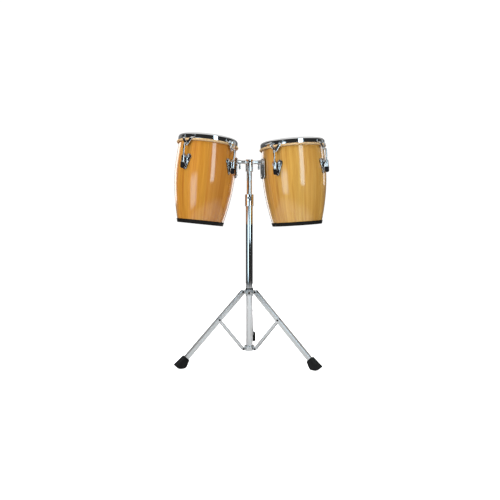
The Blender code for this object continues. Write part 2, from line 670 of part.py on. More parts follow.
def build_tripod(post):
    frame = guide("tripod_axis", (0, 0, 0), (0, 0, math.radians(TRIPOD_TURN)), post)
    screw_height = (HUB_BOTTOM + HUB_TOP) / 2
    at_screw = Matrix.Translation((0, 0, screw_height))
    boss = moved(along_y(cylinder(HUB_BOSS_RADIUS, 0.0050, HUB_BOSS_REACH, 16)), at_screw)
    leg_tongue = plate_tongue(LEG_PIVOT_R, LEG_EYE, LEG_PIVOT_Z, LEG_WIDE - 2 * (LEG_WALL + GAP))
    collar = hub(HUB_RADIUS, HUB_BOTTOM, HUB_TOP, leg_tongue, boss)
    screw_hole = moved(along_y(cylinder(HUB_SCREW_RADIUS + GAP, 0.0, 0.0300)), at_screw)
    place("leg_collar", cut(collar, screw_hole), "chrome", parent=frame)
    ring = tube(HUB_RADIUS - 0.001, BASE_TUBE_RADIUS + GAP, HUB_TOP + GAP, HUB_BUSH_TOP)
    place("leg_collar_bushing", ring, "black_nylon", parent=frame)
    screw = along_y(cylinder(HUB_SCREW_RADIUS, BASE_TUBE_RADIUS + GAP, HUB_SCREW_REACH))
    place("leg_collar_screw", screw, "black_steel", (0, 0, screw_height), parent=frame)
    brace_tongue = plate_tongue(BRACE_PIVOT_R, BRACE_EYE, BRACE_PIVOT_Z, BRACE_WIDE - 2 * (BRACE_WALL + GAP))
    lower = hub(LOWER_HUB_RADIUS, LOWER_HUB_BOTTOM, LOWER_HUB_TOP, brace_tongue)
    place("lower_hub", lower, "chrome", parent=frame)
    leg, brace, foot = make_leg(), make_brace(), make_foot()
    leg_tilt, brace_tilt = math.pi / 2 - LEG_ANGLE, BRACE_ANGLE - math.pi / 2
    for name, azimuth in LEG_AZIMUTHS.items():
        spoke = guide(f"{name}_leg_plane", (0, 0, 0), (0, 0, math.radians(azimuth)), frame)
        place(f"{name}_leg", leg, "chrome", (LEG_PIVOT_R, 0, LEG_PIVOT_Z), (0, leg_tilt, 0), spoke)
        place(f"{name}_brace", brace, "chrome", (BRACE_PIVOT_R, 0, BRACE_PIVOT_Z), (0, brace_tilt, 0), spoke)
        place(f"{name}_foot", foot, "black_rubber", (FOOT_R, 0, 0), parent=spoke)


PARTS = clear_scene()
MATERIALS = make_materials()
POST = guide("post_axis", (POST_X, POST_Y, 0))
build_cross_bar(POST)
build_post(POST)
build_tripod(POST)
for drum_name, drum_sizes in DRUMS.items():
    build_drum(drum_name, drum_sizes, POST)
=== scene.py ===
"""The looks of a pair of small conga drums on a folding tripod stand.

Metres, +Z up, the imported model's own frame. Each drum's pieces are made in the drum's frame: its
axis is +Z, and the middle of its foot is the origin. The stand's are made around the post's axis.
"""

import json
import math
from math import atan2, cos, hypot, pi, radians, sin, tan

import bmesh
import bpy
import numpy as np
from mathutils import Matrix, Vector


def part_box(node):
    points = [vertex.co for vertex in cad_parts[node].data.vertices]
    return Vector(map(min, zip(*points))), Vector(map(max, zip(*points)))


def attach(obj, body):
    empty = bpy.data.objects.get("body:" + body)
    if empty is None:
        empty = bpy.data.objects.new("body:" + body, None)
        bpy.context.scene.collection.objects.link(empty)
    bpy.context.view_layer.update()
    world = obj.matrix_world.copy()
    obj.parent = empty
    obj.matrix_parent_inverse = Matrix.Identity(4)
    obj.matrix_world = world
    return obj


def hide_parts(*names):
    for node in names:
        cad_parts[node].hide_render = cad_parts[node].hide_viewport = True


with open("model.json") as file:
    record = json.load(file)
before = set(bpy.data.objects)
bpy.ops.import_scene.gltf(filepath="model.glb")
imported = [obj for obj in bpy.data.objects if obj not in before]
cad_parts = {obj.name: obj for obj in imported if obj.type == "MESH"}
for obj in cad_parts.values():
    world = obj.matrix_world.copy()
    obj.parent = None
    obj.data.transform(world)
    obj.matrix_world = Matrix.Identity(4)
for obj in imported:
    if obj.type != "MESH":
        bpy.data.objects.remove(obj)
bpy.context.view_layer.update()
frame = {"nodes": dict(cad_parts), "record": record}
RECORD = frame["record"]
BODY_OF = {node: body for body, nodes in RECORD["behaviour"]["bodies"].items() for node in nodes}
JOINTS = {joint["name"]: joint for joint in RECORD["behaviour"]["joints"]}

GAP = 0.0003
SMALL = 0.001
ROUND_STEPS = 160  # around a drum
TUBE_STEPS = 64
PIN_STEPS = 32
SHARP = radians(38)
NEARLY_STRAIGHT = radians(176)
LEGS = ("back", "left", "right")


# --- places ---
def polar(radius, angle):
    return radius * cos(angle), radius * sin(angle)


def shift(x=0, y=0, z=0):
    return Matrix.Translation((x, y, z))


def turned(axis, angle=pi / 2):
    return Matrix.Rotation(angle, 4, axis)


def points_of(node, matrix=Matrix.Identity(4)):
    """A CAD node's points, as seen in the frame that the matrix places."""
    inverse = np.array(matrix.inverted())
    points = np.array([v.co for v in frame["nodes"][node].data.vertices], float)
    return points @ inverse[:3, :3].T + inverse[:3, 3]


def half_width(node):
    low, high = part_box(node)
    return (high.x - low.x) / 2


FLAT_OUT = Matrix(((0, 0, 1, 0), (1, 0, 0, 0), (0, 1, 0, 0), (0, 0, 0, 1)))  # +Z to +X, +Y up
BASE_LOW, BASE_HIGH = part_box("base_tube")
POST = Vector(((BASE_LOW.x + BASE_HIGH.x) / 2, (BASE_LOW.y + BASE_HIGH.y) / 2, 0))
AT_POST = shift(*POST)
BAR_LOW, BAR_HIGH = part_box("cross_bar")
BAR_HEIGHT = (BAR_LOW.z + BAR_HIGH.z) / 2
BASE_BORE = half_width("base_tube") + GAP


class Drum:
    """A drum's frame and sizes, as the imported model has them."""

    wall = 0.009
    foot_height = 0.0025
    band_height = 0.0135
    belly_height = 0.19
    shell_top = 0.302
    tuck_bottom = 0.281
    tuck_top = 0.289
    rim_bottom = 0.2893
    rim_crown = 0.3095
    rim_inset = 0.0045
    rim_curve = 0.008
    lug_height = 0.209
    boss_bottom = 0.203
    boss_top = 0.227
    rod_radius = 0.0032
    rod_bend = 0.268
    stand_off = 0.0115
    claw_bottom = 0.262
    claw_crotch = 0.2745
    claw_top = 0.301

    def __init__(self, name):
        self.name = name
        self.side = -1 if name == "left" else 1
        axis = Vector(JOINTS[f"{name}_head_tension"]["axis"]).normalized()
        band = points_of(f"{name}_base_band")
        along = band @ np.array(axis)
        foot = Vector(band[along < along.min() + 1e-5].mean(axis=0))
        self.matrix = shift(*foot) @ turned("Y", atan2(axis.x, axis.z))
        shell = points_of(f"{name}_shell", self.matrix)
        radius = np.hypot(shell[:, 0], shell[:, 1])
        self.belly = radius.max()
        self.foot = radius[shell[:, 2] < self.foot_height + 0.0005].max()
        self.top = radius[shell[:, 2] > self.shell_top - 0.0005].min() + self.wall / 2
        skin = points_of(f"{name}_skin", self.matrix)
        self.head = np.hypot(skin[:, 0], skin[:, 1]).max()
        self.reach = self.head + self.stand_off

    def radius(self, height):
        """Outer radius of the barrel."""
        if height < self.belly_height:
            part = (self.belly_height - height) / self.belly_height
            return self.belly - (self.belly - self.foot) * part ** 1.8
        part = (height - self.belly_height) / (self.shell_top - self.belly_height)
        return self.belly - (self.belly - self.top) * min(part, 1.0) ** 1.6

    def on_barrel(self, angle, height, proud):
        """A frame on the barrel whose +Z points straight out and +Y points up the side."""
        slope = (self.radius(height + SMALL) - self.radius(height - SMALL)) / (2 * SMALL)
        out = Vector((*polar(1.0, angle), -slope)).normalized()
        across = Vector((-sin(angle), cos(angle), 0))
        place = Vector((*polar(self.radius(height), angle), height)) + out * proud
        return shift(*place) @ Matrix((across, out.cross(across), out)).transposed().to_4x4()

    def bolt_seats(self, bolts, height, proud):
        """Frames on the barrel for bolts given across and up from a height."""
        return [self.on_barrel(x / self.radius(height), height + y, proud) for x, y in bolts]


DRUMS = [Drum("left"), Drum("right")]


# --- outlines ---
def arc(centre, radius, start, end, count):
    """Points along an arc, with its angles in degrees."""
    for i in range(count + 1):
        x, y = polar(radius, radians(start + (end - start) * i / count))
        yield centre[0] + x, centre[1] + y


def rounded(points, radius, count=4, closed=True):
    """The outline with its corners rounded; radius is one size, or one for each corner."""
    total = len(points)
    radii = radius if isinstance(radius, (list, tuple)) else [radius] * total
    result = []
    for i, corner in enumerate(points):
        here = Vector(corner)
        before, after = Vector(points[i - 1]) - here, Vector(points[(i + 1) % total]) - here
        is_end = not closed and i in (0, total - 1)
        if radii[i] <= 0 or is_end or before.angle(after) > NEARLY_STRAIGHT:
            result.append(tuple(corner))
            continue
        tangent = tan(before.angle(after) / 2)
        cut = min(radii[i] / tangent, before.length * 0.49, after.length * 0.49)
        start, end = here + before.normalized() * cut, here + after.normalized() * cut
        for step in range(count + 1):
            t = step / count
            point = start.lerp(here, t).lerp(here.lerp(end, t), t)
            result.append((point.x, point.y))
    return result


def mirrored(points):
    """The points mirrored in X, in reverse order."""
    return [(-x, y) for x, y in reversed(points)]


def rounded_box(left, right, half, corner, count):
    """A rectangle from left to right and from -half to half, with round corners."""
    corners = ((right - corner, half - corner), (left + corner, half - corner),
               (left + corner, corner - half), (right - corner, corner - half))
    return [p for i, at in enumerate(corners) for p in arc(at, corner, i * 90, i * 90 + 90, count)]


# --- meshes ---
def opened(mesh):
    shape = bmesh.new()
    shape.from_mesh(mesh)
    return shape


def closed(shape, mesh):
    shape.to_mesh(mesh)
    shape.free()
    return mesh


def placed(name, data):
    """A new object in the scene."""
    piece = bpy.data.objects.new(name, data)
    bpy.context.scene.collection.objects.link(piece)
    return piece


def cleaned(mesh, weld=1e-6):
    shape = opened(mesh)
    bmesh.ops.remove_doubles(shape, verts=shape.verts, dist=weld)
    bmesh.ops.dissolve_degenerate(shape, edges=shape.edges, dist=weld)
    bmesh.ops.recalc_face_normals(shape, faces=shape.faces)
    return closed(shape, mesh)


def lathe(profile, steps=PIN_STEPS, ring=False, finish_at=None):
    """A turned mesh about Z, with u around it and v up it in metres.

    finish_at(radius, height) gives a face's finish.
    """
    count = len(profile)
    angles = np.linspace(0, 2 * pi, steps, endpoint=False)
    mesh = bpy.data.meshes.new("turned")
    verts = [(*polar(r, a), z) for a in angles for r, z in profile]
    faces, corners, finishes = [], [], []
    for step in range(steps):
        after = (step + 1) % steps
        for i in range(count if ring else count - 1):
            j = (i + 1) % count
            quad = [(step, i), (step, j), (after, j), (after, i)]
            if profile[i][0] == 0:
                quad.pop(3)
            if profile[j][0] == 0:
                quad.pop(2 if profile[i][0] else 1)
            if len(quad) < 3:
                continue
            faces.append([s * count + k for s, k in quad])
            ends = [step + 1 if s == after else step for s, _ in quad]
            corners += [(end / steps, profile[k][1]) for end, (_, k) in zip(ends, quad)]
            if finish_at:
                middle = [(a + b) / 2 for a, b in zip(profile[i], profile[j])]
                finishes.append(finish_at(*middle))
    mesh.from_pydata(verts, [], faces)
    layer = mesh.uv_layers.new(name="around")
    layer.data.foreach_set("uv", [value for pair in corners for value in pair])
    if finish_at:
        mesh.polygons.foreach_set("material_index", finishes)
    return cleaned(mesh)


def ring(outer, inner, bottom, top, edge, steps=PIN_STEPS):
    profile = [(outer, top), (outer, bottom), (inner, bottom), (inner, top)]
    return lathe(rounded(profile, edge), steps, True)


def pin(radius, bottom, top, edge=0, steps=PIN_STEPS):
    profile = [(0, top), (radius, top), (radius, bottom), (0, bottom)]
    return lathe(rounded(profile, edge, closed=False), steps)


def from_object(piece):
    bpy.context.view_layer.update()
    evaluated = piece.evaluated_get(bpy.context.evaluated_depsgraph_get())
    mesh = bpy.data.meshes.new_from_object(evaluated)
    bpy.data.objects.remove(piece, do_unlink=True)
    mesh.materials.clear()
    return cleaned(mesh, 1e-5)


def traced(name, dimensions, paths, cyclic):
    """A curve through the paths, before its thickness is set."""
    curve = bpy.data.curves.new(name, "CURVE")
    curve.dimensions = dimensions
    for path in paths:
        spline = curve.splines.new("POLY")
        spline.points.add(len(path) - 1)
        for point, place in zip(spline.points, path):
            point.co = (*place, 1.0)
        spline.use_cyclic_u = cyclic
    return curve


def plate(outlines, low, high, bevel):
    """A flat piece between two heights of Z; an outline inside another is a hole."""
    curve = traced("plate", "2D", [[(x, y, 0) for x, y in outline] for outline in outlines], True)
    curve.fill_mode = "BOTH"
    curve.extrude = (high - low) / 2 - bevel
    curve.bevel_depth = bevel
    curve.bevel_resolution = 2
    curve.offset = -bevel
    mesh = from_object(placed("plate", curve))
    mesh.transform(shift(z=(low + high) / 2))
    return mesh


def wire(path, radius, resolution=6):
    """A round rod along a path."""
    curve = traced("wire", "3D", [path], False)
    curve.bevel_depth = radius
    curve.bevel_resolution = resolution
    curve.use_fill_caps = True
    return from_object(placed("wire", curve))


def combined(mesh, other, operation="DIFFERENCE"):
    piece, tool = placed("shape", mesh), placed("tool", other)
    boolean = piece.modifiers.new("boolean", "BOOLEAN")
    boolean.operation = operation
    boolean.solver = "EXACT"
    boolean.object = tool
    result = from_object(piece)
    bpy.data.objects.remove(tool, do_unlink=True)
    return result


def box(low, high):
    shape = bmesh.new()
    size = [b - a for a, b in zip(low, high)]
    middle = [(a + b) / 2 for a, b in zip(low, high)]
    bmesh.ops.create_cube(shape, size=1.0, matrix=shift(*middle) @ Matrix.Diagonal((*size, 1)))
    return closed(shape, bpy.data.meshes.new("box"))


def sliced(mesh, *cuts):
    """Cuts the faces along the axis of each (axis, step) pair, so that the piece can be bent."""
    for axis, step in cuts:
        shape = opened(mesh)
        values = [v.co[axis] for v in shape.verts]
        normal = [float(i == axis) for i in range(3)]
        for number in range(math.ceil(min(values) / step), math.floor(max(values) / step) + 1):
            place = [n * number * step for n in normal]
            geometry = shape.verts[:] + shape.edges[:] + shape.faces[:]
            bmesh.ops.bisect_plane(shape, geom=geometry, plane_co=place, plane_no=normal, dist=1e-6)
        closed(shape, mesh)
    return mesh


def reshaped(mesh, function):
    """Moves each vertex to function(x, y, z)."""
    for vertex in mesh.vertices:
        vertex.co = function(*vertex.co)
    mesh.update()
    return mesh


def moved(mesh, matrix):
    copy = mesh.copy()
    copy.transform(matrix)
    return copy


def merged(*meshes):
    """One mesh from several; a (mesh, finish) pair sets the finish of its faces."""
    shape = bmesh.new()
    for entry in meshes:
        mesh, finish = entry if isinstance(entry, tuple) else (entry, None)
        before = len(shape.faces)
        shape.from_mesh(mesh)
        shape.faces.ensure_lookup_table()
        if finish is not None:
            for face in shape.faces[before:]:
                face.material_index = finish
    return closed(shape, bpy.data.meshes.new("merged"))


def show(name, mesh, materials, matrix=AT_POST, node=None, replaces=None):
    """Puts a piece on the body of its CAD node, which it replaces unless told otherwise."""
    label = name.replace(" ", "_")
    node = node or label
    replaces = [node] if replaces is None else replaces
    piece = placed("visible_" + label, mesh)
    if not mesh.materials:
        for material in materials:
            mesh.materials.append(material)
        mesh.shade_smooth()
        mesh.set_sharp_from_angle(angle=SHARP)
    piece.matrix_world = matrix
    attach(piece, BODY_OF[node])
    if replaces:
        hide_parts(*replaces)
    return piece


# --- materials ---
WHITE = (1.0, 1.0, 1.0)
BLACK = (0.0, 0.0, 0.0)


class Tree:
    """A node tree, with short calls for the nodes that this scene uses."""

    def __init__(self, tree):
        self.tree = tree

    def feed(self, socket, value):
        """Links a socket to an output, or sets its value."""
        if isinstance(value, bpy.types.NodeSocket):
            self.tree.links.new(value, socket)
        else:
            socket.default_value = (*value, 1.0) if socket.type == "RGBA" else value

    def node(self, kind, inputs=None, **settings):
        made = self.tree.nodes.new("ShaderNode" + kind)
        for key, value in settings.items():
            setattr(made, key, value)
        for key, value in (inputs or {}).items():
            self.feed(made.inputs[key], value)
        return made

    def maths(self, operation, *values):
        return self.node("Math", dict(enumerate(values)), operation=operation).outputs[0]

    def fade(self, value, start, end, low, high):
        """Goes smoothly from low to high while the value goes from start to end."""
        inputs = dict(enumerate((value, start, end, low, high)))
        return self.node("MapRange", inputs, interpolation_type="SMOOTHSTEP").outputs[0]


class Nodes(Tree):
    """A material's node tree."""

    def __init__(self, name, colour, roughness, metallic=0.0):
        self.material = bpy.data.materials.new(name)
        self.material.use_nodes = True
        super().__init__(self.material.node_tree)
        self.shader = self.tree.nodes["Principled BSDF"]
        self.put("Base Color", colour)
        self.put("Roughness", roughness)
        self.put("Metallic", metallic)

    def put(self, socket, value):
        self.feed(self.shader.inputs[socket], value)

    def noise(self, vector, scale, detail=3.0, roughness=0.5):
        inputs = {"Vector": vector, "Scale": scale, "Detail": detail, "Roughness": roughness}
        return self.node("TexNoise", inputs).outputs["Fac"]

    def grain(self, vector, stretch, scale, detail, roughness=0.5):
        """Noise that is drawn out: a larger stretch makes it finer along that axis."""
        drawn = self.node("Mapping", {"Vector": vector, "Scale": stretch}).outputs[0]
        return self.noise(drawn, scale, detail, roughness)

    def ramp(self, factor, *stops, interpolation="LINEAR"):
        made = self.node("ValToRGB", {"Fac": factor})
        made.color_ramp.interpolation = interpolation
        elements = made.color_ramp.elements
        while len(elements) < len(stops):
            elements.new(1.0)
        for element, (place, colour) in zip(elements, stops):
            element.position = place
            element.color = (*colour, 1.0)
        return made.outputs["Color"]

    def spread(self, factor, low, high):
        """Spreads a 0 to 1 factor between two values."""
        inputs = {"Value": factor, "To Min": low, "To Max": high}
        return self.node("MapRange", inputs).outputs[0]

    def mixed(self, factor, first, second, blend="MIX"):
        inputs = {0: factor, 6: first, 7: second}
        return self.node("Mix", inputs, data_type="RGBA", blend_type=blend).outputs[2]

    def grey(self, shade):
        return self.node("CombineColor", dict.fromkeys((0, 1, 2), shade)).outputs[0]

    def bump(self, height, strength, distance):
        inputs = {"Height": height, "Strength": strength, "Distance": distance}
        self.put("Normal", self.node("Bump", inputs).outputs[0])

    def local(self):
        return self.node("TexCoord").outputs["Object"]

    def around(self):
        return self.node("UVMap", uv_map="around").outputs[0]


def stave_wood(name, base, light, dark, red, tints_and_shade):
    """Lacquered staves: u runs around the drum and v up it. The last argument gives each stave's
    redness: the wood's own tone from stave to stave, and on the amber drum also painted shade that
    makes the staves toward the camera's right redder and darker.
    """
    m = Nodes(name, base, 0.32)
    u, v = m.node("SeparateXYZ", {0: m.around()}).outputs[:2]
    count = len(tints_and_shade)
    along = m.maths("MULTIPLY", u, float(count))
    stave = {"W": m.maths("FLOOR", along)}
    change = m.node("TexWhiteNoise", stave, noise_dimensions="1D").outputs["Value"]
    drift = m.maths("ADD", v, m.maths("MULTIPLY", change, 3.0))
    place = {0: m.maths("MULTIPLY", u, 0.7), 1: drift, 2: change}
    grain_at = m.node("CombineXYZ", place).outputs[0]
    broad = m.grain(grain_at, (95.0, 3.2, 7.0), 1.0, 4.0, 0.55)
    fine = m.grain(grain_at, (430.0, 6.0, 9.0), 1.0, 5.0, 0.65)
    pores = m.grain(grain_at, (1500.0, 55.0, 9.0), 1.0, 2.0)
    body = m.ramp(broad, (0.3, dark), (0.5, base), (0.72, light))
    streaks = m.mixed(m.spread(fine, 0.0, 0.85), body, dark, "MULTIPLY")
    clear = m.spread(m.ramp(fine, (0.42, WHITE), (0.6, BLACK)), 0.0, 0.75)
    streaks = m.mixed(clear, body, streaks)
    stops = [(i / count, (tint,) * 3) for i, tint in enumerate(tints_and_shade)]
    # Redder by stave: the wood's own tone, and on the amber drum painted shade on the staves toward
    # the camera's right.
    tinted_and_shaded = m.mixed(m.ramp(u, *stops, interpolation="CONSTANT"), streaks, red)
    inputs = {"Color": tinted_and_shaded, "Value": m.spread(change, 0.95, 1.05)}
    value = m.node("HueSaturation", inputs).outputs[0]
    dots = m.spread(m.ramp(pores, (0.58, BLACK), (0.72, WHITE)), 0.0, 0.35)
    dotted = m.mixed(dots, value, dark)
    within = m.maths("FRACT", along)
    seam = m.maths("MINIMUM", within, m.maths("SUBTRACT", 1.0, within))
    line = m.ramp(seam, (0.0, WHITE), (0.022, BLACK))
    m.put("Base Color", m.mixed(m.spread(line, 0.0, 0.38), dotted, dark))
    m.put("Roughness", m.spread(fine, 0.28, 0.4))
    m.bump(m.maths("SUBTRACT", fine, m.maths("MULTIPLY", line, 0.6)), 0.05, 0.0003)
    m.put("Specular IOR Level", 0.25)
    m.put("Coat Weight", 1.0)
    m.put("Coat Roughness", 0.035)
    m.put("Coat IOR", 1.68)
    return m.material


def raw_wood():
    m = Nodes("raw wood", (0.42, 0.27, 0.14), 0.75)
    grain = m.grain(m.around(), (320.0, 8.0, 1.0), 1.0, 5.0, 0.6)
    stops = (0.3, (0.26, 0.15, 0.07)), (0.55, (0.45, 0.29, 0.15)), (0.8, (0.55, 0.38, 0.21))
    m.put("Base Color", m.ramp(grain, *stops))
    m.bump(grain, 0.35, 0.0006)
    return m.material


def rawhide():
    m = Nodes("rawhide", (0.6, 0.4, 0.2), 0.5)
    place = m.local()
    clouds = m.noise(place, 26.0, 4.0, 0.6)
    fibres = m.grain(place, (60.0, 220.0, 60.0), 2.0, 6.0, 0.7)
    stops = (0.25, (0.53, 0.33, 0.15)), (0.5, (0.6, 0.4, 0.2)), (0.8, (0.67, 0.48, 0.27))
    tone = m.ramp(clouds, *stops)
    m.put("Base Color", m.mixed(m.spread(fibres, 0.0, 0.35), tone, (0.52, 0.33, 0.15)))
    m.put("Roughness", m.spread(fibres, 0.42, 0.62))
    m.put("Subsurface Weight", 0.08)
    m.put("Subsurface Radius", (0.004, 0.002, 0.001))
    m.bump(fibres, 0.25, 0.0004)
    return m.material


def plated(name, tone, low, high, wear=0.0):
    """Plated metal with faint polishing marks; low and high are its range of roughness."""
    m = Nodes(name, (tone, tone, tone * 1.01), low, 1.0)
    place = m.local()
    clouds = m.noise(place, 60.0, 4.0, 0.6)
    marks = m.grain(place, (40.0, 40.0, 900.0), 1.0, 4.0, 0.7)
    m.put("Roughness", m.spread(clouds, low, high))
    m.put("Base Color", m.grey(m.spread(clouds, tone * (1.0 - wear), tone)))
    m.bump(marks, 0.02, 0.0001)
    return m.material


def moulded(name, colour, low, high, grain, strength):
    """Rubber, nylon or enamel with a fine moulded grain."""
    m = Nodes(name, colour, low)
    place = m.local()
    speckle = m.noise(place, grain, 3.0, 0.6)
    clouds = m.noise(place, 35.0)
    m.put("Roughness", m.spread(speckle, low, high))
    pale = tuple(c * 1.4 + 0.002 for c in colour)
    m.put("Base Color", m.mixed(m.spread(clouds, 0.0, 1.0), colour, pale))
    m.bump(speckle, strength, 0.0004)
    m.put("Specular IOR Level", 0.08)
    return m.material


# The left drum's stave redness: random tone from stave to stave, plus painted shade that rises
# toward the camera's right side.
AMBER_TINTS_AND_SHADE = (0.34, 0.22, 0.40, 0.18, 0.30, 0.12, 0.36, 0.20, 0.28, 0.06,
               0.00, 0.12, 0.02, 0.16, 0.08, 0.30, 0.42, 0.34, 0.50, 0.40)
HONEY_TINTS = (0.05, 0.25, 0.10, 0.00, 0.18, 0.08, 0.30, 0.05, 0.14, 0.22,
               0.08, 0.26, 0.14, 0.04, 0.02, 0.10, 0.16, 0.05, 0.20, 0.08)
AMBER = stave_wood("amber staves", (0.56, 0.25, 0.028), (0.64, 0.315, 0.048), (0.43, 0.16, 0.018),
                   (0.5, 0.15, 0.024), AMBER_TINTS_AND_SHADE)
HONEY = stave_wood("honey staves", (0.6, 0.33, 0.066), (0.68, 0.41, 0.1), (0.47, 0.225, 0.036),
                   (0.5, 0.17, 0.03), HONEY_TINTS)
RAW_WOOD = raw_wood()
RAWHIDE = rawhide()
CHROME = plated("chrome", 0.88, 0.04, 0.1)
# A darker copy of the chrome, for the cross bar, its receivers and its wing screws: painted shade.
SHADED_BAR_CHROME = plated("bar chrome", 0.56, 0.06, 0.14)
SATIN = plated("plated steel", 0.84, 0.16, 0.3, 0.06)
ENAMEL = moulded("black enamel", (0.008, 0.007, 0.006), 0.22, 0.34, 900.0, 0.04)
RUBBER = moulded("black rubber", (0.009, 0.009, 0.009), 0.5, 0.7, 700.0, 0.2)
NYLON = moulded("black nylon", (0.007, 0.007, 0.008), 0.3, 0.42, 1200.0, 0.08)
SCREW_BLACK = moulded("blackened steel", (0.02, 0.018, 0.018), 0.28, 0.45, 900.0, 0.05)


# --- drums ---
def shell_mesh(drum):
    heights = np.linspace(drum.shell_top - 0.004, drum.foot_height + 0.001, 40)
    outside = [(drum.radius(h), h) for h in heights]
    inside = [(drum.radius(h) - drum.wall, h) for h in heights[::-3]]
    crown = drum.top - drum.wall / 2
    profile = [
        (crown + 0.003, drum.shell_top - 0.0007), *outside, (drum.foot - 0.001, drum.foot_height),
        (drum.foot - drum.wall + 0.001, drum.foot_height), *inside,
        (crown - 0.003, drum.shell_top - 0.0012), (crown, drum.shell_top),
    ]

    def finish(radius, height):
        outer = radius > drum.radius(height) - drum.wall * 0.25
        return 0 if outer and height > drum.foot_height + 0.0005 else 1

    return lathe(profile, ROUND_STEPS, True, finish)


def band_mesh(drum):
    """The steel band, rolled over a little at its upper edge and turned in under the shell."""
    out = GAP + 0.002
    at_band, lip = drum.radius(drum.band_height), drum.foot - drum.wall + 0.002
    sole = drum.foot_height - GAP
    profile = [
        (at_band + GAP, drum.band_height), (at_band + out, drum.band_height),
        (drum.radius(0) + out, 0), (lip, 0), (lip, sole), (drum.radius(0.002) + GAP, sole),
    ]
    return lathe(rounded(profile, [0.0003, 0.0009, 0.0011, 0.0006, 0.0003, 0]), ROUND_STEPS, True)


def skin_mesh(drum):
    """The head, turned down over the shell and rolled around the flesh hoop."""
    thick, bead = 0.0012, 0.0046
    top = drum.shell_top + GAP + thick
    middle = (drum.tuck_bottom + drum.tuck_top) / 2
    tall = (drum.tuck_top - drum.tuck_bottom) / 2
    roll = [(drum.head - bead + bead * cos(a), middle + tall * sin(a))
            for a in np.radians(np.linspace(128, -150, 22))]
    collar = drum.radius(drum.tuck_top) + GAP + 0.0013
    turn_height = drum.shell_top - 0.004
    turn = drum.radius(turn_height)
    profile = [
        (0, top), (drum.top * 0.5, top), (drum.top - 0.01, top), (drum.top - 0.003, top - 0.0002),
        (drum.top + 0.0002, top - 0.0012), (turn + 0.0016, top - 0.005),
        (collar, drum.tuck_top + 0.0022), (collar + 0.001, drum.tuck_top + 0.0002), *roll,
        (drum.radius(drum.tuck_bottom) + GAP, drum.tuck_bottom + 0.0016), (turn + GAP, turn_height),
        (drum.top - 0.004, top - thick), (0, top - thick),
    ]
    return lathe(profile, ROUND_STEPS)


def rim_mesh(drum):
    band, wall, edge = drum.head - drum.rim_inset, 0.003, 0.001
    centre = (band - drum.rim_curve, drum.rim_crown - drum.rim_curve)
    crown = arc(centre, drum.rim_curve, 105, 0, 16)
    under = arc(centre, drum.rim_curve - wall, 0, 105, 10)
    shoulder = centre[1] - 0.002
    foot = rounded([(band, shoulder), (band, drum.rim_bottom), (band - wall, drum.rim_bottom),
                    (band - wall, shoulder)], edge, closed=False)
    return lathe([*crown, *foot, *under], ROUND_STEPS, True)


def side_plate_mesh(drum):
    """A V of two arms on the rim's band that meet in an eye below the rolled edge."""
    half, foot, eye, thick = 0.03, 0.014, 0.0062, 0.0022
    top = drum.claw_top
    arm = [(eye, drum.claw_bottom + 0.004), (half - 0.0015, top - 0.0055), (half, top),
           (half - foot, top), (half - foot, top - 0.0065)]
    end = arc((0, drum.claw_bottom + eye), eye, 200, 340, 8)
    radii = [0.003, 0.004, 0.0015, 0.0015, 0.003]
    radii = [*radii, 0.002, *reversed(radii)] + [0] * 9
    outline = rounded([*arm, (0, drum.claw_crotch), *mirrored(arm), *end], radii, 5)
    mesh = sliced(plate([outline], 0, thick, 0.0006), (1, 0.0016), (0, 0.004))
    bead, band = drum.head + GAP, drum.head - drum.rim_inset + GAP

    def wrap(x, y, z):
        t = min(max((y - drum.tuck_top + 0.001) / 0.0046, 0), 1.0)
        radius = bead + (band - bead) * t * t * (3 - 2 * t) + z
        return *polar(radius, x / drum.head), y

    return reshaped(mesh, wrap)


def hook_mesh(drum):
    """The tension rod: threaded below, and bent in through the side plate's eye above."""
    reach, radius, bend = drum.reach, drum.rod_radius, 0.0048
    thread_top, thread_end, pitch, deep = drum.boss_top + 0.013, 0.188, 0.001, 0.00045
    turn = arc((reach - bend, drum.rod_bend - bend), bend, 0, 90, 8)
    path = [(reach, thread_top - 0.001), *turn, (drum.head - 0.0025, drum.rod_bend)]
    thread = [(0, thread_top), (radius * 0.96, thread_top)]
    height = thread_top - pitch / 2
    while height > thread_end + 0.002:
        thread += [(radius, height), (radius - deep, height - pitch / 2)]
        height -= pitch
    thread += [(radius * 0.8, thread_end), (0, thread_end)]
    collar = ring(0.0058, radius - 0.0004, 0, 0.0016, 0.0005)
    to_eye = shift(drum.head + 0.0024, 0, drum.rod_bend) @ turned("Y")
    screw = moved(lathe(thread, 24), shift(reach))
    rod = wire([(x, 0, z) for x, z in path], radius)
    return merged(side_plate_mesh(drum), rod, screw, moved(collar, to_eye))


def heart(grow=0):
    """The lug's outline: two lobes above a long taper."""
    half, tall, lobe, toe = 0.0205 + grow, 0.027, 0.0092 + grow, 0.0075
    right = list(arc((half - lobe, 0.0168), lobe, -22, 138, 10))
    foot = arc((0, toe - tall), toe + grow, 200, 340, 8)
    return rounded([*right, (0, 0.015 + grow), *mirrored(right), *foot], 0.0012, 2)


def wrapped(drum, mesh, height, proud):
    """Bends a flat piece, X across and Y up, onto the barrel's +X side about a height."""
    def wrap(x, y, z):
        radius = drum.radius(height + y) + proud + z
        return *polar(radius, x / drum.radius(height)), height + y
    return reshaped(sliced(mesh, (0, 0.003), (1, 0.003)), wrap)


def dome(radius, height, brim=0.0006):
    """A domed screw head that stands on Z = 0."""
    profile = [(0, height), *[(radius * sin(a), brim + (height - brim) * cos(a))
               for a in np.radians(np.linspace(12, 90, 8))], (radius, 0), (0, 0)]
    return lathe(profile)


def hexagon(radius, height):
    crown = [(0, height), (radius * 0.8, height), (radius, height - 0.0006)]
    return lathe([*crown, (radius, 0), (0, 0)], 6)


LUG_BOLTS = ((-0.0112, 0.0172), (0.0112, 0.0172))
BRACKET_BOLTS = ((-0.0215, 0.0245), (0.0215, 0.0245), (0, -0.025))


